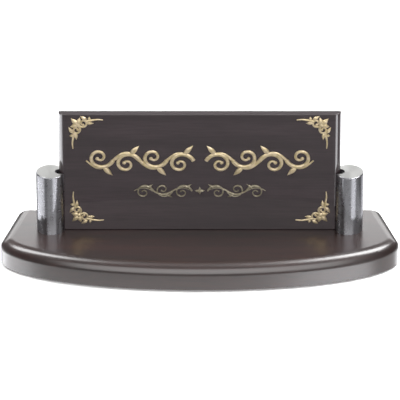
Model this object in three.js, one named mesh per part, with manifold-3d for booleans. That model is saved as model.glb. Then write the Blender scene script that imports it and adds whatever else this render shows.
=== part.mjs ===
// A desk name plaque: a lacquered wooden panel that stands in the slots of two
// steel posts on a lacquered wooden base, and lifts straight out.
//
// Millimetres, +Z up, front towards -Y. The origin is on the table, under the
// middle of the base.

import * as THREE from "three";
import { mergeVertices } from "three/addons/utils/BufferGeometryUtils.js";
import Module from "manifold-3d";

const wasm = await Module();
wasm.setup();

// ---------------------------------------------------------------------------
// Driving dimensions
// ---------------------------------------------------------------------------

// Name panel
const panelWidth = 248;
const panelHeight = 117;
const panelThickness = 7;
const panelEndRound = 5.5; // on the two upright front edges
const panelBackRound = 1; // on the two upright back edges
const panelArris = 0.8; // small bevel round the top and bottom faces

// Posts
const postDiameter = 25.4;
const postHeight = 57.5;
const postChamfer = 0.7;
const panelEngagement = 5; // how far the panel's end stands inside a post
const slotSideClearance = 0.75; // on each face of the panel
const slotEndClearance = 3.75; // from the panel's end to the bottom of the slot

// Base board
const boardMargin = 31.6; // from a post's outer side to the widest point
const boardTaper = 13.5; // each side is this much narrower at the back edge
const boardDepth = 100;
const boardNose = 52; // the part of the depth that the curved front takes
const boardThickness = 24;
const boardMoulding = 10; // radius of the rounded top edge at the front and sides
const frontSteps = 36; // facets round the curved front
const mouldingSteps = 5;
const postSetback = 31.7; // from the back edge to the axis of the posts

// Fixings, from beneath
const screwDiameter = 4;
const screwLength = 20;
const screwHeadDiameter = 8;
const screwHeadHeight = 2.8;
const screwHeadCrown = [[0.55, 1], [0.85, 0.8], [1, 0.4]]; // shares of the head's radius and height
const recessWidth = 1.1;
const recessLength = 4.2;
const recessDepth = 1.5;
const washerDiameter = 9;
const washerThickness = 0.8;
const clampThickness = 10; // wood left above the counterbore
const counterboreClearance = 1.5; // round the washer
const shankClearance = 0.25; // round the screw, in the wood and the washer
const threadClearance = 0.15; // round the screw, in the post
const tappedHoleSpare = 3; // hole below the screw's tip

// Feet
const footDiameter = 14;
const footThickness = 1.5;
const footMargin = 16; // from a foot's centre to the edge of the board
const frontFootAngle = THREE.MathUtils.degToRad(43);

// Gilt ornaments, raised on the front of the panel
const cornerLength = 30.5; // along the panel
const cornerHeight = 33;
const cornerRelief = 2;
const cornerSideInset = 8.7;
const cornerTopInset = 1.4;
const cornerBottomInset = 6;
const scrollRelief = 1.8;
const scrollDrop = 46.5; // from the panel's top edge to the middle of the large scrolls
const scrollHeight = 30;
const scrollStroke = 4;
const scrollSideInset = 24;
const scrollGap = 11; // between the two large scrolls
const scrollCurls = 4;
const vineDrop = 30.5; // from the large scrolls' middle to the thin vines' middle
const vineHeight = 13;
const vineStroke = 1.7;
const vineReach = 58; // from the panel's middle to a vine's outer end
const vineCurls = 3;
const lozengeWidth = 9;
const lozengeHeight = 8;
const lozengeGap = 2.5;

// ---------------------------------------------------------------------------
// Derived places
// ---------------------------------------------------------------------------

const postRadius = postDiameter / 2;
const postX = panelWidth / 2 - panelEngagement + postRadius;
const postY = boardDepth / 2 - postSetback;
const boardHalfWidth = postX + postRadius + boardMargin;
const boardUnderside = footThickness;
const boardTop = boardUnderside + boardThickness;
const wideY = boardNose - boardDepth / 2; // where the curved front meets the sides
const counterboreDepth = boardThickness - clampThickness;
const tappedHoleDepth = screwLength - clampThickness - washerThickness + tappedHoleSpare;

// ---------------------------------------------------------------------------
// Solids
// ---------------------------------------------------------------------------

/** Makes a closed geometry a solid that can be joined and cut. */
function toSolid(geometry) {
  const bare = geometry.clone();
  bare.deleteAttribute("normal");
  bare.deleteAttribute("uv");
  const merged = mergeVertices(bare, 1e-4);
  return new wasm.Manifold(
    new wasm.Mesh({
      numProp: 3,
      vertProperties: new Float32Array(merged.attributes.position.array),
      triVerts: new Uint32Array(merged.index.array),
    }),
  );
}

/** Turns a solid back into a geometry. */
function toGeometry(solid) {
  const mesh = solid.getMesh();
  const geometry = new THREE.BufferGeometry();
  geometry.setAttribute("position", new THREE.BufferAttribute(mesh.vertProperties, 3));
  geometry.setIndex(new THREE.BufferAttribute(mesh.triVerts, 1));
  geometry.computeVertexNormals();
  return geometry;
}

/** Joins geometries that overlap into one. */
function join(geometries) {
  return toGeometry(geometries.map(toSolid).reduce((whole, next) => whole.add(next)));
}

/** Cuts every tool out of a geometry. */
function cut(geometry, tools) {
  return toGeometry(tools.map(toSolid).reduce((rest, tool) => rest.subtract(tool), toSolid(geometry)));
}

/** A turned solid about the Z axis, from [radius, height] points. */
function turned(points, segments = 40) {
  const profile = points.map(([radius, height]) => new THREE.Vector2(radius, height));
  return new THREE.LatheGeometry(profile, segments).rotateX(Math.PI / 2);
}

/** A round bar or drill about the Z axis, from one height to another. */
function bar(diameter, bottom, top, segments = 32) {
  return new THREE.CylinderGeometry(diameter / 2, diameter / 2, top - bottom, segments)
    .rotateX(Math.PI / 2)
    .translate(0, 0, (top + bottom) / 2);
}

/** A box between two corners. */
function block(low, high) {
  return new THREE.BoxGeometry(high[0] - low[0], high[1] - low[1], high[2] - low[2]).translate(
    (low[0] + high[0]) / 2,
    (low[1] + high[1]) / 2,
    (low[2] + high[2]) / 2,
  );
}

// ---------------------------------------------------------------------------
// Base
// ---------------------------------------------------------------------------

const counterbore = washerDiameter + 2 * counterboreClearance;
const screwHole = screwDiameter + 2 * shankClearance;

/** The board's outline from the back right corner round the front, moved inwards by an inset. */
function boardRing(inset, height) {
  const front = new THREE.EllipseCurve(
    0,
    wideY,
    boardHalfWidth - inset,
    boardNose - inset,
    0,
    Math.PI,
    true,
  );
  const backHalf = boardHalfWidth - boardTaper - inset;
  return [
    new THREE.Vector2(backHalf, boardDepth / 2),
    ...front.getPoints(frontSteps),
    new THREE.Vector2(-backHalf, boardDepth / 2),
  ].map((point) => new THREE.Vector3(point.x, point.y, height));
}

/** A closed solid over rings of equal length that run clockwise, from the lowest to the highest. */
function lofted(rings) {
  const count = rings[0].length;
  const middle = (ring) =>
    ring.reduce((sum, point) => sum.add(point), new THREE.Vector3()).divideScalar(count);
  const points = [...rings.flat(), middle(rings[0]), middle(rings.at(-1))];
  const bottomMiddle = points.length - 2;
  const topMiddle = points.length - 1;
  const topStart = (rings.length - 1) * count;
  const faces = [];
  for (let i = 0; i < count; i += 1) {
    const next = (i + 1) % count;
    faces.push([bottomMiddle, i, next], [topMiddle, topStart + next, topStart + i]);
    for (let start = 0; start < topStart; start += count) {
      faces.push([start + i, start + count + i, start + count + next]);
      faces.push([start + i, start + count + next, start + next]);
    }
  }
  return new THREE.BufferGeometry().setFromPoints(points).setIndex(faces.flat());
}

/** The board: straight sides that narrow to the back, a half-elliptical front, a rounded top edge. */
function baseBoard() {
  const straight = boardThickness - boardMoulding;
  const rounded = Array.from({ length: mouldingSteps + 1 }, (_, i) => {
    const angle = (i / mouldingSteps) * (Math.PI / 2);
    return boardRing(boardMoulding * (1 - Math.cos(angle)), straight + boardMoulding * Math.sin(angle));
  });
  const blank = lofted([boardRing(0, 0), ...rounded]);
  const drills = [-postX, postX].flatMap((x) => [
    bar(counterbore, -1, counterboreDepth).translate(x, postY, 0),
    bar(screwHole, -1, boardThickness + 1).translate(x, postY, 0),
  ]);
  return cut(blank, drills).translate(0, 0, boardUnderside);
}

/** A felt pad with a slightly rounded lower edge. */
function foot() {
  const radius = footDiameter / 2;
  const edge = footThickness / 4;
  return turned([
    [0, 0],
    [radius - edge, 0],
    [radius, edge],
    [radius, footThickness],
    [0, footThickness],
  ], 28);
}

/** The places of the feet's centres: two near the back corners, two under the curve. */
function footPlaces() {
  const backX = boardHalfWidth - boardTaper - footMargin;
  const backY = boardDepth / 2 - footMargin;
  const frontX = (boardHalfWidth - footMargin) * Math.cos(frontFootAngle);
  const frontY = wideY - (boardNose - footMargin) * Math.sin(frontFootAngle);
  return [
    ["foot_front_left", -frontX, frontY],
    ["foot_front_right", frontX, frontY],
    ["foot_back_left", -backX, backY],
    ["foot_back_right", backX, backY],
  ];
}

// ---------------------------------------------------------------------------
// Posts and their fixings
// ---------------------------------------------------------------------------

/** A post with its slot facing +X (side 1) or -X (side -1), standing on z = 0. */
function post(side) {
  const body = turned([
    [0, 0],
    [postRadius, 0],
    [postRadius, postHeight - postChamfer],
    [postRadius - postChamfer, postHeight],
    [0, postHeight],
  ], 40);
  const slotRadius = panelThickness / 2 + slotSideClearance;
  const slotBottom = postRadius - panelEngagement - slotEndClearance;
  const slotCentre = slotBottom + slotRadius;
  const opening = postDiameter;
  const slotOutline = new THREE.Shape()
    .moveTo(side * opening, slotRadius)
    .lineTo(side * slotCentre, slotRadius);
  if (side > 0) {
    slotOutline.absarc(slotCentre, 0, slotRadius, Math.PI / 2, -Math.PI / 2, false);
  } else {
    slotOutline.absarc(-slotCentre, 0, slotRadius, Math.PI / 2, -Math.PI / 2, true);
  }
  slotOutline.lineTo(side * opening, -slotRadius);
  const slot = new THREE.ExtrudeGeometry(slotOutline, {
    depth: postHeight + 2,
    bevelEnabled: false,
    curveSegments: 12,
  }).translate(0, 0, -1);
  const tappedHole = bar(screwDiameter + 2 * threadClearance, -1, tappedHoleDepth);
  return cut(body, [slot, tappedHole]);
}

/** A pan-head screw, its head down and the underside of the head at z = 0. */
function screw() {
  const headRadius = screwHeadDiameter / 2;
  const shankRadius = screwDiameter / 2;
  const body = turned([
    [0, -screwHeadHeight],
    ...screwHeadCrown.map(([out, down]) => [headRadius * out, -screwHeadHeight * down]),
    [headRadius, 0],
    [shankRadius, 0],
    [shankRadius, screwLength - shankRadius / 2],
    [shankRadius / 2, screwLength],
    [0, screwLength],
  ], 32);
  const recessTop = recessDepth - screwHeadHeight;
  const half = recessLength / 2;
  const arm = recessWidth / 2;
  const recess = join([
    block([-half, -arm, -screwHeadHeight - 1], [half, arm, recessTop]),
    block([-arm, -half, -screwHeadHeight - 1], [arm, half, recessTop]),
  ]);
  return cut(body, [recess]);
}

/** A plain washer, standing on z = 0. */
function washer() {
  const inner = screwHole / 2;
  const outer = washerDiameter / 2;
  return turned([
    [inner, 0],
    [outer, 0],
    [outer, washerThickness],
    [inner, washerThickness],
    [inner, 0],
  ], 32);
}

// ---------------------------------------------------------------------------
// Panel
// ---------------------------------------------------------------------------

/** The panel: its upright front edges are broad rounds, and every other edge is eased. */
function namePanel() {
  const end = panelWidth / 2;
  const face = -panelThickness / 2;
  const back = panelThickness / 2;
  const small = panelBackRound;
  const broad = Math.min(panelEndRound, panelThickness - small);
  const plan = new THREE.Shape()
    .moveTo(broad - end, face)
    .lineTo(end - broad, face)
    .absarc(end - broad, face + broad, broad, -Math.PI / 2, 0, false)
    .lineTo(end, back - small)
    .absarc(end - small, back - small, small, 0, Math.PI / 2, false)
    .lineTo(small - end, back)
    .absarc(small - end, back - small, small, Math.PI / 2, Math.PI, false)
    .lineTo(-end, face + broad)
    .absarc(broad - end, face + broad, broad, Math.PI, (3 * Math.PI) / 2, false);
  return new THREE.ExtrudeGeometry(plan, {
    depth: panelHeight - 2 * panelArris,
    bevelThickness: panelArris,
    bevelSize: panelArris,
    bevelOffset: -panelArris,
    bevelSegments: 2,
    curveSegments: 7,
  }).translate(0, 0, panelArris);
}

// ---------------------------------------------------------------------------
// Gilt ornaments: flat strokes and leaves, joined into one raised piece each
// ---------------------------------------------------------------------------

/** A spiral from one radius to another about a centre, in the panel's plane. */
class Spiral extends THREE.Curve {
  constructor(centre, startRadius, endRadius, startAngle, sweep) {
    super();
    Object.assign(this, { centre, startRadius, endRadius, startAngle, sweep });
  }

  getPoint(t) {
    const radius = this.startRadius * Math.pow(this.endRadius / this.startRadius, t);
    const angle = this.startAngle + this.sweep * t;
    return new THREE.Vector2(
      this.centre.x + radius * Math.cos(angle),
      this.centre.y + radius * Math.sin(angle),
    );
  }
}

/** The outline of a stroke that follows a curve with a width that varies along it. */
function strokeOutline(curve, widthAt, steps) {
  const near = [];
  const far = [];
  for (let i = 0; i <= steps; i += 1) {
    const t = i / steps;
    const point = curve.getPoint(t);
    const along = curve.getTangent(t);
    const across = new THREE.Vector2(-along.y, along.x).multiplyScalar(widthAt(t) / 2);
    near.push(point.clone().add(across));
    far.unshift(point.clone().sub(across));
  }
  return [...near, ...far];
}

/** The outline of a pointed leaf from its base to its tip. */
function leafOutline(base, tip, width, steps = 3) {
  const length = tip.clone().sub(base);
  const across = new THREE.Vector2(-length.y, length.x).normalize().multiplyScalar(width / 2);
  const swell = (t) => Math.sin(Math.PI * Math.pow(t, 0.8));
  const side = (sign) =>
    Array.from({ length: steps }, (_, i) => (i + 0.35) / (steps - 0.3))
      .map((t) => base.clone().addScaledVector(length, t).addScaledVector(across, sign * swell(t)));
  return [base.clone(), ...side(1), tip.clone(), ...side(-1).reverse()];
}

/** The outline of a small round boss. */
function bossOutline(centre, radius, steps = 8) {
  return Array.from({ length: steps }, (_, i) => (2 * Math.PI * i) / steps)
    .map((angle) => new THREE.Vector2(centre.x + radius * Math.cos(angle), centre.y + radius * Math.sin(angle)));
}

/**
 * Joins outlines, given in the panel's plane, into one piece that stands on the
 * plane y = 0 and is raised towards the front.
 */
function raised(outlines, relief, stretch = new THREE.Vector2(1, 1)) {
  const slabs = outlines.map((outline) => {
    const shape = new THREE.Shape(outline.map((point) => point.clone().multiply(stretch)));
    return new THREE.ExtrudeGeometry(shape, { depth: relief, bevelEnabled: false });
  });
  return join(slabs).rotateX(Math.PI / 2);
}

/**
 * A running scroll: a wavy stem along +x from x = 0, with a spiral curl and a
 * small leaf in every half wave.
 */
function runningScroll({ length, height, stroke, curls }) {
  const pitch = length / curls;
  const amplitude = height * 0.25;
  const stemLine = new THREE.SplineCurve(
    Array.from({ length: 4 * curls + 1 }, (_, i) => i / 4)
      .map((wave) => new THREE.Vector2(wave * pitch, amplitude * Math.sin(wave * Math.PI))),
  );
  const outlines = [
    strokeOutline(stemLine, (t) => stroke * (0.3 + 0.5 * Math.sin(Math.PI * t)), 7 * curls),
  ];
  for (let i = 0; i < curls; i += 1) {
    const up = i % 2 === 0 ? 1 : -1;
    const centre = new THREE.Vector2((i + 0.5) * pitch, -up * height * 0.12);
    const start = new THREE.Vector2(i * pitch, 0).sub(centre);
    const curl = new Spiral(centre, start.length(), start.length() * 0.2, start.angle(), -up * Math.PI * 2.7);
    outlines.push(strokeOutline(curl, (t) => stroke * (0.95 - 0.45 * t), 15));
    outlines.push(bossOutline(curl.getPoint(1), stroke * 0.42));
    const crest = new THREE.Vector2((i + 0.38) * pitch, up * amplitude * 0.8);
    const tip = new THREE.Vector2((i + 0.02) * pitch, up * height * 0.5);
    outlines.push(leafOutline(crest, tip, stroke * 1.15));
  }
  return outlines;
}

/** Half of a corner ornament: the arm along +x, measured from the corner. */
function cornerArm() {
  const at = (x, y) => new THREE.Vector2(x, y);
  const curl = new Spiral(at(13.2, 6.8), 4.4, 1.5, Math.PI * 1.05, -Math.PI * 2.5);
  const tail = new THREE.SplineCurve([at(15.4, 5.2), at(20.5, 4.2), at(25.5, 3.5), at(cornerLength, 3.9)]);
  return [
    strokeOutline(curl, (t) => 2.1 - 0.7 * t, 12),
    bossOutline(curl.getPoint(1), 1.2),
    leafOutline(at(16.4, 4.2), at(10.6, 0.3), 3.4),
    leafOutline(at(15.6, 6.6), at(22.4, 7.0), 3),
    leafOutline(at(18.2, 4.4), at(18.6, 0.9), 2.6),
    strokeOutline(tail, (t) => 2.6 - 1.7 * t, 5),
  ];
}

/** A corner ornament, its corner at the origin and its arms along +x and +y. */
function cornerOutlines() {
  const arm = cornerArm();
  const mirrored = arm.map((outline) => outline.map((point) => new THREE.Vector2(point.y, point.x)));
  const heart = new THREE.Vector2(8.6, 8.6);
  const petals = [-58, 0, 58].map((turn) => {
    const angle = THREE.MathUtils.degToRad(225 + turn);
    const reach = 8.6 - Math.abs(turn) / 40;
    const tip = heart.clone().add(new THREE.Vector2(Math.cos(angle), Math.sin(angle)).multiplyScalar(reach));
    return leafOutline(heart, tip, 4.6);
  });
  return [...arm, ...mirrored, ...petals, bossOutline(heart, 2.2)];
}

/** A lozenge with hollow sides, about the origin. */
function lozengeOutline() {
  const tips = [[1, 0], [0, 1], [-1, 0], [0, -1]];
  return tips.flatMap(([x, y], i) => {
    const [nextX, nextY] = tips[(i + 1) % 4];
    return [
      new THREE.Vector2((x * lozengeWidth) / 2, (y * lozengeHeight) / 2),
      new THREE.Vector2(((x + nextX) * lozengeWidth) / 6, ((y + nextY) * lozengeHeight) / 6),
    ];
  });
}

// ---------------------------------------------------------------------------
// Materials
// ---------------------------------------------------------------------------

const lacqueredWood = new THREE.MeshStandardMaterial({ color: 0x3b2c2b, roughness: 0.12, metalness: 0 });
const polishedSteel = new THREE.MeshStandardMaterial({ color: 0xc9c8c8, roughness: 0.12, metalness: 1 });
const gilt = new THREE.MeshStandardMaterial({ color: 0xcdbf95, roughness: 0.35, metalness: 1 });
const zincSteel = new THREE.MeshStandardMaterial({ color: 0xa9a9a6, roughness: 0.35, metalness: 1 });
const felt = new THREE.MeshStandardMaterial({ color: 0x1c1b1b, roughness: 1, metalness: 0 });

// ---------------------------------------------------------------------------
// Assembly
// ---------------------------------------------------------------------------

const plaque = new THREE.Group();

/** Adds a named piece at a place. */
function add(parent, name, geometry, material, x = 0, y = 0, z = 0) {
  const mesh = new THREE.Mesh(geometry, material);
  mesh.name = name;
  mesh.position.set(x, y, z);
  parent.add(mesh);
}

const stand = new THREE.Group();
plaque.add(stand);

add(stand, "base_board", baseBoard(), lacqueredWood);
for (const [name, x, y] of footPlaces()) {
  add(stand, name, foot(), felt, x, y);
}
for (const [side, sign] of [["left", -1], ["right", 1]]) {
  const headSeat = boardTop - clampThickness - washerThickness;
  add(stand, `${side}_post`, post(-sign), polishedSteel, sign * postX, postY, boardTop);
  add(stand, `${side}_post_screw`, screw(), zincSteel, sign * postX, postY, headSeat);
  add(stand, `${side}_post_washer`, washer(), zincSteel, sign * postX, postY, headSeat);
}

// The panel rests on the board, between the slots of the posts.
const liftOut = new THREE.Group();
liftOut.position.set(0, postY, boardTop);
plaque.add(liftOut);

add(liftOut, "name_panel", namePanel(), lacqueredWood);

const face = -panelThickness / 2;
const scrollZ = panelHeight - scrollDrop;
const vineZ = scrollZ - vineDrop;

const scrollShape = runningScroll({
  length: panelWidth / 2 - scrollSideInset - scrollGap / 2,
  height: scrollHeight,
  stroke: scrollStroke,
  curls: scrollCurls,
});
const vineInner = lozengeWidth / 2 + lozengeGap;
const vineShape = runningScroll({
  length: vineReach - vineInner,
  height: vineHeight,
  stroke: vineStroke,
  curls: vineCurls,
});
const cornerShape = cornerOutlines();

for (const [side, sign] of [["left", -1], ["right", 1]]) {
  const facing = new THREE.Vector2(sign, 1);
  const cornerX = sign * (panelWidth / 2 - cornerSideInset);
  for (const [level, direction, z] of [
    ["top", -1, panelHeight - cornerTopInset],
    ["bottom", 1, cornerBottomInset],
  ]) {
    const stretch = new THREE.Vector2(-sign, (direction * cornerHeight) / cornerLength);
    add(liftOut, `${level}_${side}_corner`, raised(cornerShape, cornerRelief, stretch), gilt, cornerX, face, z);
  }
  add(liftOut, `${side}_scroll`, raised(scrollShape, scrollRelief, facing), gilt, (sign * scrollGap) / 2, face, scrollZ);
  add(liftOut, `${side}_vine`, raised(vineShape, scrollRelief, facing), gilt, sign * vineInner, face, vineZ);
}
add(liftOut, "centre_lozenge", raised([lozengeOutline()], scrollRelief), gilt, 0, face, vineZ);

export default plaque;
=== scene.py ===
"""A desk name plaque: lacquered board, turned steel posts, a loose lacquered panel with gilt relief."""

import logging
import math
from collections.abc import Callable, Iterator
from contextlib import contextmanager
from dataclasses import dataclass, field
from enum import Enum

import bmesh
import bpy
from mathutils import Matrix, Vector


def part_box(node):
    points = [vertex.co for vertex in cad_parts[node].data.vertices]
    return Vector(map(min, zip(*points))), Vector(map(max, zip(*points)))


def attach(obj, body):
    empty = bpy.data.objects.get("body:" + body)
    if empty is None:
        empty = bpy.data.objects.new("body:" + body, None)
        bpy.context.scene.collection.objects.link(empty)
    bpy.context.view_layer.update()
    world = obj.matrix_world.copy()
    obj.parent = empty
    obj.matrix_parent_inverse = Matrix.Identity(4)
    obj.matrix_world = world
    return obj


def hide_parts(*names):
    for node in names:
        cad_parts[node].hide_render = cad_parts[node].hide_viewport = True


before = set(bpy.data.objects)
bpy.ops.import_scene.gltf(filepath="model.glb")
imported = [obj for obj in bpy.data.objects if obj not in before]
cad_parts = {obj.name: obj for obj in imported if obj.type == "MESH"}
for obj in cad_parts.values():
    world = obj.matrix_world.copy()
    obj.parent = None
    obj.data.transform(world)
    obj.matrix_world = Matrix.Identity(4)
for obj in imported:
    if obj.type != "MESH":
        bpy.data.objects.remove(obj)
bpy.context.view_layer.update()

log = logging.getLogger("plaque")
MM = 0.001
NEAR = 1e-6  # metres within which two places count as the same
Point = tuple[float, float]


class Side(Enum):
    """Which half of the plaque a piece is on, and the sign of x there."""

    LEFT = -1
    RIGHT = 1

    @property
    def word(self) -> str:
        """The side's name in piece names."""
        return self.name.lower()


class Level(Enum):
    """Whether a corner ornament is at the top or the bottom, and which way its upright arm runs."""

    TOP = -1
    BOTTOM = 1

    @property
    def word(self) -> str:
        """The level's name in piece names."""
        return self.name.lower()


# --- modelling tools ---------------------------------------------------------


def deselect() -> None:
    """Deselects every object."""
    bpy.ops.object.select_all(action="DESELECT")


def select_only(piece: bpy.types.Object) -> None:
    """Makes one object the only selected one, and the active one."""
    deselect()
    piece.select_set(True)
    bpy.context.view_layer.objects.active = piece


@contextmanager
def editing(piece: bpy.types.Object, mode: str = "FACE") -> Iterator[None]:
    """Holds a piece in edit mode with nothing selected.

    Args:
        piece: The mesh object to edit.
        mode: What is selected by: VERT, EDGE or FACE.
    """
    select_only(piece)
    bpy.ops.object.mode_set(mode="EDIT")
    bpy.ops.mesh.select_mode(type=mode)
    bpy.ops.mesh.select_all(action="DESELECT")
    yield
    bpy.ops.object.mode_set(mode="OBJECT")


def pick_edges(piece: bpy.types.Object, test: Callable[[Vector, Vector], bool]) -> None:
    """Selects the edges whose two ends pass a test, in edit mode."""
    mesh = bmesh.from_edit_mesh(piece.data)
    for edge in mesh.edges:
        edge.select_set(test(edge.verts[0].co, edge.verts[1].co))
    bmesh.update_edit_mesh(piece.data)


def pick_faces(piece: bpy.types.Object, test: Callable[[bmesh.types.BMFace], bool]) -> None:
    """Selects the faces that pass a test, in edit mode."""
    mesh = bmesh.from_edit_mesh(piece.data)
    for face in mesh.faces:
        face.select_set(test(face))
    bmesh.update_edit_mesh(piece.data)


def finish_primitive(name: str) -> bpy.types.Object:
    """Names the primitive just added and applies its place, so that its object sits at the origin."""
    piece = bpy.context.object
    piece.name = name
    piece.data.name = name
    select_only(piece)
    bpy.ops.object.transform_apply(location=True, rotation=True, scale=True)
    return piece


def apply_modifier(piece: bpy.types.Object, kind: str, **settings: object) -> None:
    """Adds a modifier, sets it and applies it."""
    select_only(piece)
    modifier = piece.modifiers.new(kind.lower(), kind)
    for key, value in settings.items():
        setattr(modifier, key, value)
    bpy.ops.object.modifier_apply(modifier=modifier.name)


def cut_out(piece: bpy.types.Object, cutter: bpy.types.Object, solver: str = "EXACT") -> None:
    """Cuts one object out of another and removes the cutter.

    Args:
        piece: The object to cut.
        cutter: What is cut out of it.
        solver: EXACT, or FAST where a big face that the cutter doesn't reach has to stay whole.
    """
    apply_modifier(piece, "BOOLEAN", object=cutter, operation="DIFFERENCE", solver=solver)
    bpy.data.objects.remove(cutter)


def ease_edges(piece: bpy.types.Object, width: float, segments: int = 3, angle: float = 40) -> None:
    """Rounds every edge that is sharper than an angle.

    Args:
        piece: The mesh object.
        width: The width of the rounding, in metres.
        segments: The facets across it.
        angle: The sharpness, in degrees, from which an edge is rounded.
    """
    apply_modifier(
        piece,
        "BEVEL",
        width=width,
        segments=segments,
        limit_method="ANGLE",
        angle_limit=math.radians(angle),
    )


def smooth(piece: bpy.types.Object, angle: float = 35) -> None:
    """Shades a piece smooth, with its flat faces kept flat."""
    select_only(piece)
    bpy.ops.object.shade_smooth_by_angle(angle=math.radians(angle))
    apply_modifier(piece, "WEIGHTED_NORMAL", keep_sharp=True, weight=80)


def box_piece(name: str, low: Vector, high: Vector) -> bpy.types.Object:
    """A box between two corners, as a start for another shape."""
    deselect()
    bpy.ops.mesh.primitive_cube_add(size=1, location=(low + high) / 2, scale=high - low)
    return finish_primitive(name)


def round_bar(name: str, radius: float, bottom: Vector, height: float, sides: int) -> bpy.types.Object:
    """An upright round bar that stands on a point, as a start for another shape."""
    deselect()
    bpy.ops.mesh.primitive_cylinder_add(
        vertices=sides,
        radius=radius,
        depth=height,
        location=bottom + Vector((0, 0, height / 2)),
    )
    return finish_primitive(name)


# --- materials ---------------------------------------------------------------


def linear(code: str) -> tuple[float, float, float, float]:
    """Turns an sRGB hex colour into linear red, green, blue and alpha."""
    parts = [int(code[i : i + 2], 16) / 255 for i in (1, 3, 5)]
    channels = [c / 12.92 if c <= 0.04045 else ((c + 0.055) / 1.055) ** 2.4 for c in parts]
    return (*channels, 1.0)


def add_node(
    tree: bpy.types.NodeTree,
    kind: str,
    inputs: dict[str | int, object] | None = None,
    **settings: object,
) -> bpy.types.Node:
    """Adds a shader node.

    Args:
        tree: The node tree it joins.
        kind: The node's type name.
        inputs: A value for each input, or the socket that feeds it.
        settings: The node's own properties.

    Returns:
        The new node.
    """
    made = tree.nodes.new(kind)
    for key, value in settings.items():
        setattr(made, key, value)
    for key, value in (inputs or {}).items():
        if isinstance(value, bpy.types.NodeSocket):
            tree.links.new(value, made.inputs[key])
        else:
            made.inputs[key].default_value = value
    return made


def new_material(name: str) -> tuple[bpy.types.Material, bpy.types.NodeTree, bpy.types.NodeSocket]:
    """Makes an empty material.

    Returns:
        The material, its node tree, and the object coordinates to draw patterns in.
    """
    material = bpy.data.materials.new(name)
    material.use_nodes = True
    tree = material.node_tree
    tree.nodes.clear()
    coordinates = add_node(tree, "ShaderNodeTexCoord")
    return material, tree, coordinates.outputs["Object"]


def blend(
    tree: bpy.types.NodeTree,
    value: bpy.types.NodeSocket,
    first: tuple[float, str],
    last: tuple[float, str],
) -> bpy.types.NodeSocket:
    """Adds a ramp from one colour to another.

    Args:
        tree: The node tree it joins.
        value: What it is read at.
        first: Where the first colour ends, and its hex code.
        last: Where the last colour starts, and its hex code.

    Returns:
        The ramp's colour.
    """
    made = add_node(tree, "ShaderNodeValToRGB", {"Fac": value})
    for element, (position, code) in zip(made.color_ramp.elements, (first, last)):
        element.position = position
        element.color = linear(code)
    return made.outputs["Color"]


def close_material(tree: bpy.types.NodeTree, inputs: dict[str | int, object]) -> None:
    """Ends a material in a principled surface with these inputs."""
    surface = add_node(tree, "ShaderNodeBsdfPrincipled", inputs)
    add_node(tree, "ShaderNodeOutputMaterial", {"Surface": surface.outputs["BSDF"]})


@dataclass(frozen=True)
class LacqueredWood:
    """Fine-grained hardwood, stained, filled and sprayed with gloss lacquer.

    The stain hides nearly all of the figure, so the grain is only a faint
    change of tone along X. The eye gets its gloss from the clear coat, which
    has the slight waviness of a sprayed film.
    """

    name: str
    stain: str
    vein: str
    grain_mm: float = 1.6
    grain_stretch: float = 0.06  # the pattern's scale along X, over its scale across
    film_wave_mm: float = 9.0
    roughness: float = 0.45
    coat_roughness: float = 0.15
    coat_ior: float = 1.6

    def make(self) -> bpy.types.Material:
        """Builds the material."""
        material, tree, place = new_material(self.name)
        along = add_node(tree, "ShaderNodeMapping", {
            "Vector": place, "Scale": (self.grain_stretch, 1, 1),
        })
        figure = add_node(tree, "ShaderNodeTexNoise", {
            "Vector": along.outputs["Vector"],
            "Scale": 1 / (self.grain_mm * MM),
            "Detail": 5,
            "Roughness": 0.62,
        })
        broad = add_node(tree, "ShaderNodeTexNoise", {
            "Vector": along.outputs["Vector"], "Scale": 0.12 / (self.grain_mm * MM), "Detail": 2,
        })
        both = add_node(tree, "ShaderNodeMath", {
            0: figure.outputs["Fac"], 1: broad.outputs["Fac"],
        }, operation="MULTIPLY")
        tone = blend(tree, both.outputs["Value"], (0.15, self.vein), (0.38, self.stain))
        film = add_node(tree, "ShaderNodeTexNoise", {
            "Vector": place, "Scale": 1 / (self.film_wave_mm * MM), "Detail": 1,
        })
        wave = add_node(tree, "ShaderNodeBump", {
            "Height": film.outputs["Fac"], "Strength": 0.02, "Distance": 1 * MM,
        })
        close_material(tree, {
            "Base Color": tone,
            "Roughness": self.roughness,
            "Specular IOR Level": 0.4,
            "Coat Weight": 1.0,
            "Coat Roughness": self.coat_roughness,
            "Coat IOR": self.coat_ior,
            "Coat Normal": wave.outputs["Normal"],
        })
        return material


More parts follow.
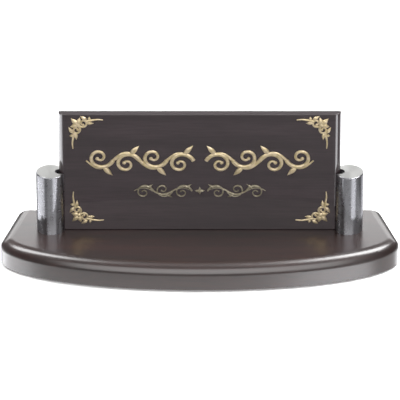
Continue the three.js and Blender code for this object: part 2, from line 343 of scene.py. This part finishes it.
@dataclass(frozen=True)
class TurnedSteel:
    """Bright steel, turned on a lathe and polished.

    The tool leaves fine rings round the Z axis, which stretch every reflection
    across them: up and down on the side, outwards on a faced end.
    """

    name: str
    colour: str
    roughness: float
    anisotropy: float
    ring_mm: float
    ring_depth: float
    cloud_mm: float = 4.0
    wear: float = 0.15  # how far the roughness strays from its middle, as a share

    def make(self, centre: Vector) -> bpy.types.Material:
        """Builds the material.

        Args:
            centre: A point on the lathe axis.
        """
        material, tree, place = new_material(self.name)
        centred = add_node(tree, "ShaderNodeMapping", {"Vector": place, "Location": -centre})
        cloud = add_node(tree, "ShaderNodeTexNoise", {
            "Vector": centred.outputs["Vector"], "Scale": 1 / (self.cloud_mm * MM), "Detail": 3,
        })
        spot = add_node(tree, "ShaderNodeSeparateXYZ", {"Vector": centred.outputs["Vector"]})
        flat = add_node(tree, "ShaderNodeCombineXYZ", {"X": spot.outputs["X"], "Y": spot.outputs["Y"]})
        reach = add_node(tree, "ShaderNodeVectorMath", {0: flat.outputs["Vector"]}, operation="LENGTH")
        step = add_node(tree, "ShaderNodeMath", {
            0: reach.outputs["Value"], 1: spot.outputs["Z"],
        }, operation="ADD")
        groove = add_node(tree, "ShaderNodeTexNoise", {
            "W": step.outputs["Value"], "Scale": 1 / (self.ring_mm * MM), "Detail": 2,
        }, noise_dimensions="1D")
        bump = add_node(tree, "ShaderNodeBump", {
            "Height": groove.outputs["Fac"], "Strength": self.ring_depth, "Distance": 0.1 * MM,
        })
        worn = add_node(tree, "ShaderNodeMapRange", {
            "Value": cloud.outputs["Fac"],
            "To Min": self.roughness * (1 - self.wear),
            "To Max": self.roughness * (1 + self.wear),
        })
        tangent = add_node(tree, "ShaderNodeTangent", direction_type="RADIAL", axis="Z")
        close_material(tree, {
            "Base Color": linear(self.colour),
            "Metallic": 1.0,
            "Roughness": worn.outputs["Result"],
            "Anisotropic": self.anisotropy,
            "Anisotropic Rotation": 0.25,  # a quarter turn, across the rings
            "Tangent": tangent.outputs["Tangent"],
            "Normal": bump.outputs["Normal"],
        })
        return material


@dataclass(frozen=True)
class SatinGilt:
    """Cast metal with a pale satin gilding, a little cloudy and darker where it was rubbed less."""

    name: str
    colour: str
    shade: str
    roughness: float = 0.42
    cloud_mm: float = 3.0
    grit_mm: float = 0.35

    def make(self) -> bpy.types.Material:
        """Builds the material."""
        material, tree, place = new_material(self.name)
        cloud = add_node(tree, "ShaderNodeTexNoise", {
            "Vector": place, "Scale": 1 / (self.cloud_mm * MM), "Detail": 4,
        })
        grit = add_node(tree, "ShaderNodeTexNoise", {
            "Vector": place, "Scale": 1 / (self.grit_mm * MM), "Detail": 2,
        })
        tone = blend(tree, cloud.outputs["Fac"], (0.3, self.shade), (0.62, self.colour))
        satin = add_node(tree, "ShaderNodeBump", {
            "Height": grit.outputs["Fac"], "Strength": 0.12, "Distance": 0.1 * MM,
        })
        gloss = add_node(tree, "ShaderNodeMapRange", {
            "Value": cloud.outputs["Fac"],
            "To Min": self.roughness * 1.15,
            "To Max": self.roughness * 0.85,
        })
        close_material(tree, {
            "Base Color": tone,
            "Metallic": 0.7,
            "Roughness": gloss.outputs["Result"],
            "Normal": satin.outputs["Normal"],
        })
        return material


@dataclass(frozen=True)
class ZincSteel:
    """Cold-headed steel with bright zinc plate: grey, with a faint cloud in its gloss."""

    name: str = "zinc_plated_steel"
    colour: str = "#a9a9a4"
    roughness: float = 0.35
    cloud_mm: float = 1.5

    def make(self) -> bpy.types.Material:
        """Builds the material."""
        material, tree, place = new_material(self.name)
        cloud = add_node(tree, "ShaderNodeTexNoise", {
            "Vector": place, "Scale": 1 / (self.cloud_mm * MM), "Detail": 3,
        })
        gloss = add_node(tree, "ShaderNodeMapRange", {
            "Value": cloud.outputs["Fac"],
            "To Min": self.roughness * 0.75,
            "To Max": self.roughness * 1.3,
        })
        close_material(tree, {
            "Base Color": linear(self.colour), "Metallic": 1.0, "Roughness": gloss.outputs["Result"],
        })
        return material


@dataclass(frozen=True)
class WoolFelt:
    """Pressed black wool felt: no gloss, a fibrous nap that catches light at its edge."""

    name: str = "black_wool_felt"
    colour: str = "#232121"
    fibre: str = "#3c3938"
    fibre_mm: float = 0.5

    def make(self) -> bpy.types.Material:
        """Builds the material."""
        material, tree, place = new_material(self.name)
        nap = add_node(tree, "ShaderNodeTexNoise", {
            "Vector": place, "Scale": 1 / (self.fibre_mm * MM), "Detail": 5, "Distortion": 1.2,
        })
        tone = blend(tree, nap.outputs["Fac"], (0.4, self.colour), (0.75, self.fibre))
        fuzz = add_node(tree, "ShaderNodeBump", {
            "Height": nap.outputs["Fac"], "Strength": 0.7, "Distance": 0.2 * MM,
        })
        close_material(tree, {
            "Base Color": tone,
            "Roughness": 0.95,
            "Sheen Weight": 0.5,
            "Normal": fuzz.outputs["Normal"],
        })
        return material


BOARD_LACQUER = LacqueredWood("board_lacquer", stain="#2a1714", vein="#1c1210", coat_roughness=0.24)
PANEL_LACQUER = LacqueredWood(
    "panel_lacquer", stain="#33282b", vein="#281f21", coat_roughness=0.04, coat_ior=1.5,
)
POST_SIDE = TurnedSteel(
    "polished_turned_steel", "#a4a4a8", roughness=0.28, anisotropy=0.9, ring_mm=0.25, ring_depth=0.02,
)
POST_TOP = TurnedSteel(
    "faced_turned_steel", "#aeaeac", roughness=0.42, anisotropy=0.5, ring_mm=0.45, ring_depth=0.25,
)
GILT = SatinGilt("satin_gilt", colour="#ccbb9c", shade="#b5a47c")
DULL_GILT = SatinGilt("dull_gilt", colour="#9c9480", shade="#857c68")
ZINC = ZincSteel()
FELT = WoolFelt()


# --- stand -------------------------------------------------------------------


@dataclass
class Stand:
    """The board, its felt feet, and the two slotted posts with their fixings."""

    body: str = "stand"
    taper: float = 13.5 * MM
    nose: float = 52 * MM
    moulding: float = 10 * MM
    moulding_segments: int = 14
    post_radius: float = 12.7 * MM
    post_chamfer: float = 0.7 * MM
    slot_width: float = 8.5 * MM
    slot_bottom: float = 3.95 * MM  # from the post's axis
    slot_segments: int = 16
    slot_cutter_spare: float = 5 * MM  # past the post's top and foot
    slot_cutter_round: float = 0.998  # of half its width, so that its two rounds don't meet
    counterbore_radius: float = 6 * MM
    counterbore_depth: float = 14 * MM
    arris: float = 0.5 * MM
    post_arris: float = 0.2 * MM
    front_steps: int = 80
    post_sides: int = 128
    drill_sides: int = 64
    foot_sides: int = 72
    foot_unevenness: float = 0.012  # how far the rim is drawn in, as a share of the radius

    def outline(self) -> list[Point]:
        """The board's outline, from the back right corner round the front to the back left one."""
        low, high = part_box("base_board")
        wide_y = low.y + self.nose
        points = [(high.x - self.taper, high.y)]
        for i in range(self.front_steps + 1):
            if i in (1, self.front_steps - 1):
                continue  # a longer step beside each corner leaves room for the rounded edge
            angle = math.pi * i / self.front_steps
            points.append((high.x * math.cos(angle), wide_y - self.nose * math.sin(angle)))
        points.append((low.x + self.taper, high.y))
        return points

    def board(self) -> bpy.types.Object:
        """The board: its outline extruded, with the top edge rounded at the front and sides."""
        low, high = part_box("base_board")
        outline = self.outline()
        deselect()
        bpy.ops.mesh.primitive_circle_add(vertices=len(outline), radius=1, fill_type="NGON")
        board = finish_primitive("lacquered_board")
        for vertex, (x, y) in zip(board.data.vertices, outline):
            vertex.co = (x, y, low.z)
        with editing(board):
            bpy.ops.mesh.select_all(action="SELECT")
            bpy.ops.mesh.extrude_region_move(TRANSFORM_OT_translate={"value": (0, 0, high.z - low.z)})
            bpy.ops.mesh.select_all(action="SELECT")
            bpy.ops.mesh.normals_make_consistent(inside=False)
        with editing(board, "EDGE"):
            pick_edges(board, lambda a, b: (
                min(a.z, b.z) > high.z - NEAR and not min(a.y, b.y) > high.y - NEAR
            ))
            bpy.ops.mesh.bevel(
                offset=self.moulding, segments=self.moulding_segments, profile=0.5, clamp_overlap=False,
            )
        with editing(board):
            pick_faces(board, lambda face: face.normal.z > 0.9999)
            bpy.ops.mesh.inset(thickness=self.arris)
        for side in Side:
            axis = self.post_axis(side)
            drill_foot = Vector((axis.x, axis.y, low.z - self.counterbore_depth))
            drill_length = 2 * self.counterbore_depth
            drill = round_bar("drill", self.counterbore_radius, drill_foot, drill_length, self.drill_sides)
            cut_out(board, drill, solver="FAST")
        ease_edges(board, self.arris)
        smooth(board)
        return dress(board, BOARD_LACQUER.make(), "base_board", self.body)

    def post_axis(self, side: Side) -> Vector:
        """The foot of a post's axis."""
        low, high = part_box(f"{side.word}_post")
        outer_x = high.x if side is Side.RIGHT else low.x
        return Vector((outer_x - side.value * self.post_radius, (low.y + high.y) / 2, low.z))

    def post(self, side: Side) -> bpy.types.Object:
        """A post: a bar with a chamfered top and a round-ended slot open towards the panel."""
        low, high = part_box(f"{side.word}_post")
        axis = self.post_axis(side)
        post = round_bar(
            f"{side.word}_turned_post", self.post_radius, axis, high.z - low.z, self.post_sides,
        )
        with editing(post, "EDGE"):
            pick_edges(post, lambda a, b: min(a.z, b.z) > high.z - NEAR)
            bpy.ops.mesh.bevel(offset=self.post_chamfer, segments=3, profile=0.5)
        cut_out(post, self.slot_cutter(side, axis, high.z))
        ease_edges(post, self.post_arris, segments=2)
        smooth(post)
        middle = axis + Vector((0, 0, high.z)) / 2
        dress(post, POST_SIDE.make(middle), f"{side.word}_post", self.body)
        post.data.materials.append(POST_TOP.make(middle))
        for face in post.data.polygons:
            face.material_index = 1 if face.center.z > high.z - NEAR else 0
        return post

    def slot_cutter(self, side: Side, axis: Vector, top: float) -> bpy.types.Object:
        """The shape of the milling cutter's path: a block with one full-round end."""
        spare = self.slot_cutter_spare
        end_x = axis.x - side.value * self.slot_bottom
        ends = sorted([end_x, axis.x - side.value * 3 * self.post_radius])
        half = self.slot_width / 2
        cutter = box_piece(
            "slot_cutter",
            Vector((ends[0], axis.y - half, axis.z - spare)),
            Vector((ends[1], axis.y + half, top + spare)),
        )
        with editing(cutter, "EDGE"):
            pick_edges(cutter, lambda a, b: (
                abs(a.x - end_x) < NEAR and abs(b.x - end_x) < NEAR and abs(a.z - b.z) > spare
            ))
            bpy.ops.mesh.bevel(
                offset=half * self.slot_cutter_round, segments=self.slot_segments, profile=0.5,
            )
        return cutter

    def foot(self, node: str) -> bpy.types.Object:
        """A felt pad with a soft lower edge and a slightly uneven rim."""
        low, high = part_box(node)
        middle = (low + high) / 2
        radius = (high.x - low.x) / 2
        pad_foot = Vector((middle.x, middle.y, low.z))
        pad = round_bar(f"{node}_felt", radius, pad_foot, high.z - low.z, self.foot_sides)
        with editing(pad, "EDGE"):
            pick_edges(pad, lambda a, b: max(a.z, b.z) < low.z + NEAR)
            bpy.ops.mesh.bevel(offset=(high.z - low.z) / 3, segments=4, profile=0.5)
        for vertex in pad.data.vertices:
            away = Vector((vertex.co.x - middle.x, vertex.co.y - middle.y))
            turn = math.atan2(away.y, away.x)
            drawn_in = self.foot_unevenness * (1 + math.sin(9 * turn) * math.cos(23 * turn))
            vertex.co.x -= away.x * drawn_in
            vertex.co.y -= away.y * drawn_in
        smooth(pad)
        return dress(pad, FELT.make(), node, self.body)

    def build(self) -> None:
        """Builds the board, feet and posts, and dresses the fixings."""
        self.board()
        for side in Side:
            self.post(side)
            for level in ("front", "back"):
                self.foot(f"foot_{level}_{side.word}")
            for fixing in ("screw", "washer"):
                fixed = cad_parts[f"{side.word}_post_{fixing}"]
                fixed.data.materials.clear()
                fixed.data.materials.append(ZINC.make())


def dress(
    piece: bpy.types.Object,
    material: bpy.types.Material,
    node: str,
    body: str,
) -> bpy.types.Object:
    """Gives a piece its material, and puts it in place of its CAD node.

    Args:
        piece: The finished piece.
        material: The material of its first slot.
        node: The CAD node that it replaces.
        body: The body that it rides on.

    Returns:
        The piece.
    """
    piece.data.materials.clear()
    piece.data.materials.append(material)
    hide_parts(node)
    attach(piece, body)
    log.info("%s: %d faces", piece.name, len(piece.data.polygons))
    return piece


# --- gilt relief -------------------------------------------------------------


@dataclass
class Stroke:
    """A round-backed stroke: points in the panel's plane and the half width at each, in millimetres."""

    points: list[Point]
    halves: list[float]

    def moved(self, place: Callable[[Point], Point]) -> "Stroke":
        """The same stroke with its points moved."""
        return Stroke([place(point) for point in self.points], self.halves)


def spiral(
    centre: Point,
    start: Point,
    shrink: float,
    sweep: float,
    width: Callable[[float], float],
) -> Stroke:
    """A logarithmic spiral stroke.

    Args:
        centre: The point it winds about.
        start: Where it starts.
        shrink: Its last radius over its first.
        sweep: The angle it turns, in radians.
        width: The stroke's width at a share of the way along it.

    Returns:
        The stroke.
    """
    steps = 56
    away = (start[0] - centre[0], start[1] - centre[1])
    radius = math.hypot(*away)
    angle = math.atan2(away[1], away[0])
    shares = [i / steps for i in range(steps + 1)]
    points = [
        (
            centre[0] + radius * shrink**t * math.cos(angle + sweep * t),
            centre[1] + radius * shrink**t * math.sin(angle + sweep * t),
        )
        for t in shares
    ]
    return Stroke(points, [width(t) / 2 for t in shares])


def leaf(base: Point, tip: Point, width: float) -> Stroke:
    """A pointed leaf from its base to its tip."""
    steps = 12
    shares = [i / steps for i in range(steps + 1)]
    points = [(base[0] + (tip[0] - base[0]) * t, base[1] + (tip[1] - base[1]) * t) for t in shares]
    return Stroke(points, [max(0.12, width / 2 * math.sin(math.pi * t**0.8)) for t in shares])


def bent(points: list[Point], width: Callable[[float], float]) -> Stroke:
    """A stroke through a few points, as a Catmull-Rom curve."""
    steps = 12
    ends = [points[0], *points, points[-1]]
    line = []
    for a, b, c, d in zip(ends, ends[1:], ends[2:], ends[3:]):
        for i in range(steps):
            t = i / steps
            line.append(tuple(
                0.5 * (2 * b[k] + (c[k] - a[k]) * t + (2 * a[k] - 5 * b[k] + 4 * c[k] - d[k]) * t**2
                       + (3 * b[k] - a[k] - 3 * c[k] + d[k]) * t**3)
                for k in (0, 1)
            ))
    line.append(points[-1])
    return Stroke(line, [width(i / (len(line) - 1)) / 2 for i in range(len(line))])


def boss(centre: Point, radius: float) -> Stroke:
    """A small round boss: a stroke as short as it is wide."""
    steps = 8
    turns = [math.pi * i / steps for i in range(steps + 1)]
    return Stroke(
        [(centre[0] - radius * math.cos(turn), centre[1]) for turn in turns],
        [max(0.08, radius * math.sin(turn)) for turn in turns],
    )


@dataclass
class Relief:
    """A raised gilt piece made of strokes, cast as one and glued to the panel."""

    node: str
    strokes: list[Stroke]
    origin: Vector
    relief: float = 1.8
    crown: float = 1.3  # how far the widest stroke would rise, over the relief it is cut back to
    crown_power: float = 1.6  # how sharply the relief turns from a round back to a flat crown
    voxel: float = 0.22
    kept_share: float = 0.4  # of the remeshed faces
    finish: SatinGilt = GILT
    body: str = "panel"

    def build(self) -> bpy.types.Object:
        """Sweeps every stroke, fuses them, and flattens their crowns and backs."""
        sweeps = [self.sweep(stroke) for stroke in self.strokes]
        deselect()
        for sweep in sweeps:
            sweep.select_set(True)
        bpy.context.view_layer.objects.active = sweeps[0]
        bpy.ops.object.join()
        piece = bpy.context.object
        piece.name = f"{self.node}_gilt"
        piece.data.name = piece.name
        piece.data.remesh_voxel_size = self.voxel * MM
        bpy.ops.object.voxel_remesh()
        self.shape_relief(piece)
        apply_modifier(piece, "DECIMATE", ratio=self.kept_share)
        smooth_relief(piece)
        return dress(piece, self.finish.make(), self.node, self.body)

    def sweep(self, stroke: Stroke) -> bpy.types.Object:
        """One stroke as a closed round sweep about the face of the panel."""
        deselect()
        bpy.ops.curve.primitive_nurbs_path_add()
        curve = bpy.context.object.data
        curve.splines.clear()
        line = curve.splines.new("POLY")
        line.points.add(len(stroke.points) - 1)
        for point, (x, z), half in zip(line.points, stroke.points, stroke.halves):
            point.co = (self.origin.x + x * MM, self.origin.y, self.origin.z + z * MM, 1)
            point.radius = half
        curve.bevel_depth = MM
        curve.bevel_resolution = 5
        curve.use_fill_caps = True
        bpy.ops.object.convert(target="MESH")
        return finish_primitive("sweep")

    def shape_relief(self, piece: bpy.types.Object) -> None:
        """Sets how far the piece stands off the panel: low where thin, cut back where wide."""
        widest = max(half for stroke in self.strokes for half in stroke.halves) * MM
        height = self.relief * MM
        for vertex in piece.data.vertices:
            rise = (self.origin.y - vertex.co.y) / widest * height * self.crown
            if rise > 0:
                rise = height * math.tanh((rise / height) ** self.crown_power) ** (1 / self.crown_power)
            vertex.co.y = self.origin.y - max(rise, 0)


def smooth_relief(piece: bpy.types.Object) -> None:
    """Shades a cast relief smooth up to the sharp edge of its back."""
    select_only(piece)
    bpy.ops.object.shade_smooth_by_angle(angle=math.radians(60))


def running_scroll(length: float, height: float, stroke: float, curls: int) -> list[Stroke]:
    """A wavy stem along +x with a spiral curl and a leaf in every half wave, in millimetres."""
    pitch = length / curls
    amplitude = height * 0.25
    steps = 20 * curls
    shares = [i / steps for i in range(steps + 1)]
    strokes = [Stroke(
        [(t * length, amplitude * math.sin(math.pi * t * curls)) for t in shares],
        [stroke * (0.35 + 0.5 * math.sin(math.pi * t)) / 2 for t in shares],
    )]
    for i in range(curls):
        up = 1 if i % 2 == 0 else -1
        centre = ((i + 0.5) * pitch, -up * height * 0.12)
        start = (i * pitch, 0)
        curl = spiral(centre, start, 0.2, -up * math.pi * 2.7, lambda t: stroke * (0.95 - 0.45 * t))
        strokes.append(curl)
        strokes.append(boss(curl.points[-1], stroke * 0.42))
        strokes.append(leaf(
            ((i + 0.38) * pitch, up * amplitude * 0.8),
            ((i + 0.02) * pitch, up * height * 0.5),
            stroke * 1.15,
        ))
    return strokes


def corner_arm(length: float) -> list[Stroke]:
    """The arm of a corner ornament along +x, measured from the corner, in millimetres."""
    start = 4.4
    centre = (13.2, 6.8)
    begin = (centre[0] + start * math.cos(1.05 * math.pi), centre[1] + start * math.sin(1.05 * math.pi))
    curl = spiral(centre, begin, 1.5 / start, -2.5 * math.pi, lambda t: 2.1 - 0.7 * t)
    return [
        curl,
        boss(curl.points[-1], 1.2),
        leaf((16.4, 4.2), (10.6, 0.3), 3.4),
        leaf((15.6, 6.6), (22.4, 7.0), 3.0),
        leaf((18.2, 4.4), (18.6, 0.9), 2.6),
        bent([(15.4, 5.2), (20.5, 4.2), (25.5, 3.5), (length, 3.9)], lambda t: 2.6 - 1.7 * t),
    ]


def corner_strokes(length: float) -> list[Stroke]:
    """A corner ornament with its corner at the origin: two arms and a leaf that points to the corner."""
    arm = corner_arm(length)
    strokes = arm + [stroke.moved(lambda point: (point[1], point[0])) for stroke in arm]
    heart = (8.6, 8.6)
    corner_way = 225  # degrees
    for turn in (-58, 0, 58):
        angle = math.radians(corner_way + turn)
        reach = 8.6 - abs(turn) / 40
        tip = (heart[0] + reach * math.cos(angle), heart[1] + reach * math.sin(angle))
        strokes.append(leaf(heart, tip, 4.6))
    strokes.append(boss(heart, 2.2))
    return strokes


def lozenge_strokes(width: float, height: float) -> list[Stroke]:
    """A lozenge with hollow sides: four pointed leaves about a boss."""
    tips = [(width / 2, 0), (0, height / 2), (-width / 2, 0), (0, -height / 2)]
    return [leaf((-x * 0.35, -z * 0.35), (x, z), 2.6) for x, z in tips] + [boss((0, 0), 1.5)]


# --- panel -------------------------------------------------------------------


@dataclass
class Panel:
    """The loose name panel with its gilt pieces."""

    body: str = "panel"
    end_round: float = 5.5 * MM
    end_round_segments: int = 20
    back_round: float = 1 * MM
    back_round_segments: int = 5
    arris: float = 0.8 * MM
    corner_length: float = 30.5
    corner_height: float = 33.0
    corner_gap: float = 0.3  # from an ornament's own corner to its nearest point
    side_inset: float = 8.7
    scroll_side_inset: float = 24.0
    scroll_gap: float = 11.0
    scroll_height: float = 30.0
    scroll_stroke: float = 4.0
    scroll_curls: int = 4
    vine_reach: float = 58.0
    vine_height: float = 13.0
    vine_stroke: float = 1.7
    vine_curls: int = 3
    lozenge: Point = (9.0, 8.0)
    lozenge_gap: float = 2.5

    def slab(self) -> bpy.types.Object:
        """The panel: a slab with broad rounds on its upright front edges, and every other edge eased."""
        low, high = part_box("name_panel")
        slab = box_piece("lacquered_panel", low, high)
        middle_y = (low.y + high.y) / 2
        upright = (high.z - low.z) / 2
        with editing(slab, "EDGE"):
            pick_edges(slab, lambda a, b: abs(a.z - b.z) > upright and a.y < middle_y)
            bpy.ops.mesh.bevel(offset=self.end_round, segments=self.end_round_segments, profile=0.5)
        with editing(slab, "EDGE"):
            pick_edges(slab, lambda a, b: abs(a.z - b.z) > upright and min(a.y, b.y) > high.y - NEAR)
            bpy.ops.mesh.bevel(offset=self.back_round, segments=self.back_round_segments, profile=0.5)
        ease_edges(slab, self.arris, segments=4)
        smooth(slab)
        return dress(slab, PANEL_LACQUER.make(), "name_panel", self.body)

    def face_y(self) -> float:
        """The panel's front face."""
        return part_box("name_panel")[0].y

    def middle_z(self, node: str) -> float:
        """The height of the middle of a CAD node."""
        low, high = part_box(node)
        return (low.z + high.z) / 2

    def corner(self, side: Side, level: Level) -> bpy.types.Object:
        """One corner ornament, facing the corner that it is in."""
        node = f"{level.word}_{side.word}_corner"
        low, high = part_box(node)
        panel_low, panel_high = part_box("name_panel")
        edge_x = panel_high.x if side is Side.RIGHT else panel_low.x
        stretch = self.corner_height / self.corner_length
        gap = self.corner_gap * stretch * MM
        corner_z = high.z + gap if level is Level.TOP else low.z - gap
        strokes = [
            stroke.moved(lambda point: (-side.value * point[0], level.value * point[1] * stretch))
            for stroke in corner_strokes(self.corner_length)
        ]
        origin = Vector((edge_x - side.value * self.side_inset * MM, self.face_y(), corner_z))
        return Relief(node, strokes, origin, relief=2.0, crown=1.05, voxel=0.16).build()

    def scroll(self, side: Side) -> bpy.types.Object:
        """One of the two large scrolls."""
        node = f"{side.word}_scroll"
        half_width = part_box("name_panel")[1].x / MM
        length = half_width - self.scroll_side_inset - self.scroll_gap / 2
        strokes = running_scroll(length, self.scroll_height, self.scroll_stroke, self.scroll_curls)
        return self.sided(node, side, strokes, self.scroll_gap / 2, self.middle_z(node), 0.2, GILT)

    def vine(self, side: Side) -> bpy.types.Object:
        """One of the two thin vines of the second line."""
        node = f"{side.word}_vine"
        inner = self.lozenge[0] / 2 + self.lozenge_gap
        length = self.vine_reach - inner
        strokes = running_scroll(length, self.vine_height, self.vine_stroke, self.vine_curls)
        return self.sided(node, side, strokes, inner, self.middle_z("centre_lozenge"), 0.1, DULL_GILT)

    def sided(
        self,
        node: str,
        side: Side,
        strokes: list[Stroke],
        inner: float,
        height: float,
        voxel: float,
        finish: SatinGilt,
    ) -> bpy.types.Object:
        """A relief that runs outwards from the panel's middle.

        Args:
            node: The CAD node that it replaces.
            side: The half of the panel that it is on.
            strokes: Its strokes, drawn along +x.
            inner: How far from the middle it starts, in millimetres.
            height: The height of its centre line, in metres.
            voxel: The size of the remeshing grid, in millimetres.
            finish: Its gilding.
        """
        mirrored = [stroke.moved(lambda point: (side.value * point[0], point[1])) for stroke in strokes]
        origin = Vector((side.value * inner * MM, self.face_y(), height))
        return Relief(node, mirrored, origin, voxel=voxel, finish=finish).build()

    def centre(self) -> bpy.types.Object:
        """The lozenge between the vines."""
        node = "centre_lozenge"
        origin = Vector((0, self.face_y(), self.middle_z(node)))
        return Relief(node, lozenge_strokes(*self.lozenge), origin, voxel=0.1, finish=DULL_GILT).build()

    def build(self) -> None:
        """Builds the slab and every gilt piece."""
        self.slab()
        for side in Side:
            for level in Level:
                self.corner(side, level)
            self.scroll(side)
            self.vine(side)
        self.centre()


# --- studio ------------------------------------------------------------------


@dataclass
class Studio:
    """The pale floor, the soft lights and the camera."""

    elevation: float = 30.0
    distance: float = 5.0
    view_width: float = 0.352  # what the frame takes in at the aim
    aim: Vector = field(default_factory=lambda: Vector((0.0002, 0, 0.0645)))
    floor_size: float = 12.0
    card_light: float = 9.0
    # degrees from the front towards +X, and the brightness of the walls there
    walls: tuple[Point, ...] = (
        (-180, 0.15), (-140, 0.15), (-112, 0.3), (-95, 0.35), (-80, 0.2), (-58, 0.04), (-30, 0.03),
        (-8, 0.09), (12, 0.09), (25, 0.2), (42, 0.5), (55, 0.2), (72, 0.03), (98, 0.04), (130, 0.2),
        (180, 0.15),
    )
    # the same for the white cards that lie round the table
    cards: tuple[Point, ...] = (
        (-180, 0.1), (-135, 0.1), (-120, 1.0), (-60, 1.0), (-40, 0.1), (-15, 0.02), (0, 0.02),
        (12, 0.1), (25, 1.0), (48, 1.0), (60, 0.05), (100, 0.05), (125, 0.4), (180, 0.1),
    )
    # degrees above the horizon, and how much of a card is there
    bands: tuple[Point, ...] = ((-90, 0), (-33, 0), (-31.5, 1.0), (-28.5, 1.0), (-27, 0), (90, 0))

    def camera(self) -> None:
        """A long lens in front, looking down at the plaque."""
        pitch = math.radians(self.elevation)
        back = Vector((0, -math.cos(pitch), math.sin(pitch)))
        deselect()
        bpy.ops.object.camera_add(
            location=self.aim + back * self.distance,
            rotation=(math.pi / 2 - pitch, 0, 0),
        )
        camera = bpy.context.object
        camera.data.lens = camera.data.sensor_width * self.distance / self.view_width
        bpy.context.scene.camera = camera

    def floor(self) -> None:
        """A pale, matt tabletop that runs out of sight."""
        deselect()
        bpy.ops.mesh.primitive_plane_add(size=self.floor_size)
        floor = finish_primitive("floor")
        material, tree, place = new_material("pale_card")
        tooth = add_node(tree, "ShaderNodeTexNoise", {"Vector": place, "Scale": 400})
        bump = add_node(tree, "ShaderNodeBump", {"Height": tooth.outputs["Fac"], "Strength": 0.02})
        close_material(tree, {
            "Base Color": linear("#fafafa"),
            "Roughness": 0.9,
            "Specular IOR Level": 0.1,
            "Normal": bump.outputs["Normal"],
        })
        floor.data.materials.append(material)
        floor.visible_glossy = False  # the gloss mirrors the room instead, as over a dark desk

    def softbox(self, name: str, place: Vector, aim: Vector, size: Point, power: float) -> None:
        """A rectangular soft light.

        Args:
            name: Its name.
            place: Where it stands.
            aim: The point it faces.
            size: Its width and height, in metres.
            power: Its power, in watts.
        """
        deselect()
        turn = (aim - place).to_track_quat("-Z", "Y").to_euler()
        bpy.ops.object.light_add(type="AREA", location=place, rotation=turn)
        light = bpy.context.object
        light.name = name
        light.data.shape = "RECTANGLE"
        light.data.size, light.data.size_y = size
        light.data.energy = power
        light.visible_camera = False

    def lights(self) -> None:
        """A low box close behind for the sheen of the board, boxes overhead, and a soft key in front."""
        middle = Vector((0, 0, 0.05))
        self.softbox("back_box", Vector((0, 0.45, 0.2)), Vector((0, 0, 0.03)), (1.3, 0.2), 2.5)
        self.softbox("right_box", Vector((0.8, 0.1, 1.4)), middle, (0.7, 0.9), 32)
        self.softbox("left_box", Vector((-0.85, 0.1, 1.4)), middle, (0.6, 0.9), 20)
        self.softbox("key_box", Vector((0.1, -1.9, 0.85)), middle, (2.6, 1.8), 42)
        self.softbox("apron", Vector((0, 0, 0.0004)), Vector((0, 0, 1)), (0.46, 0.168), 0.22)
        apron = bpy.context.object
        apron.data.shape = "ELLIPSE"
        apron.visible_diffuse = False

    def room(self) -> None:
        """The room that the gloss mirrors: bright and dark walls all round, brightest near the floor."""
        world = bpy.data.worlds.new("room")
        world.use_nodes = True
        tree = world.node_tree
        tree.nodes.clear()
        way = add_node(tree, "ShaderNodeSeparateXYZ", {
            "Vector": add_node(tree, "ShaderNodeTexCoord").outputs["Generated"],
        })
        forward = add_node(tree, "ShaderNodeMath", {0: way.outputs["Y"], 1: -1.0}, operation="MULTIPLY")
        azimuth = add_node(tree, "ShaderNodeMath", {
            0: way.outputs["X"], 1: forward.outputs["Value"],
        }, operation="ARCTAN2")
        turn = add_node(tree, "ShaderNodeMapRange", {
            "Value": azimuth.outputs["Value"], "From Min": -math.pi, "From Max": math.pi,
        })
        walls = self.round_ramp(tree, turn.outputs["Result"], self.walls)
        rise = add_node(tree, "ShaderNodeMapRange", {
            "Value": way.outputs["Z"], "From Min": -1.0, "From Max": 1.0,
        })
        bands = self.ramp(tree, rise.outputs["Result"], [
            ((math.sin(math.radians(up)) + 1) / 2, tone) for up, tone in self.bands
        ])
        cards = self.round_ramp(tree, turn.outputs["Result"], self.cards)
        shine = add_node(tree, "ShaderNodeMath", {0: cards, 1: bands}, operation="MULTIPLY")
        glow = add_node(tree, "ShaderNodeMath", {
            0: shine.outputs["Value"], 1: self.card_light,
        }, operation="MULTIPLY")
        light = add_node(tree, "ShaderNodeMath", {0: walls, 1: glow.outputs["Value"]}, operation="ADD")
        lit = add_node(tree, "ShaderNodeBackground", {
            "Color": linear("#f4f5f8"), "Strength": light.outputs["Value"],
        })
        add_node(tree, "ShaderNodeOutputWorld", {"Surface": lit.outputs["Background"]})
        bpy.context.scene.world = world
        bpy.context.scene.view_settings.view_transform = "Standard"

    def round_ramp(
        self,
        tree: bpy.types.NodeTree,
        turn: bpy.types.NodeSocket,
        stops: tuple[Point, ...],
    ) -> bpy.types.NodeSocket:
        """Adds a grey ramp whose stops are degrees from the front, and returns its output."""
        return self.ramp(tree, turn, [((angle + 180) / 360, tone) for angle, tone in stops])

    @staticmethod
    def ramp(
        tree: bpy.types.NodeTree,
        value: bpy.types.NodeSocket,
        stops: list[Point],
    ) -> bpy.types.NodeSocket:
        """Adds a grey ramp with these stops and returns its output."""
        made = add_node(tree, "ShaderNodeValToRGB", {"Fac": value})
        made.color_ramp.interpolation = "EASE"
        elements = made.color_ramp.elements
        for _ in stops[2:]:
            elements.new(0.5)
        for element, (position, _) in zip(elements, stops):
            element.position = position
        for element, (_, tone) in zip(elements, stops):
            element.color = (tone, tone, tone, 1)
        return made.outputs["Color"]

    def build(self) -> None:
        """Sets up the camera, floor and lights."""
        self.camera()
        self.floor()
        self.lights()
        self.room()


def main() -> None:
    """Builds the studio, the stand and the panel."""
    logging.basicConfig(level=logging.INFO, format="%(message)s")
    Studio().build()
    Stand().build()
    Panel().build()


if __name__ == "__main__":
    main()
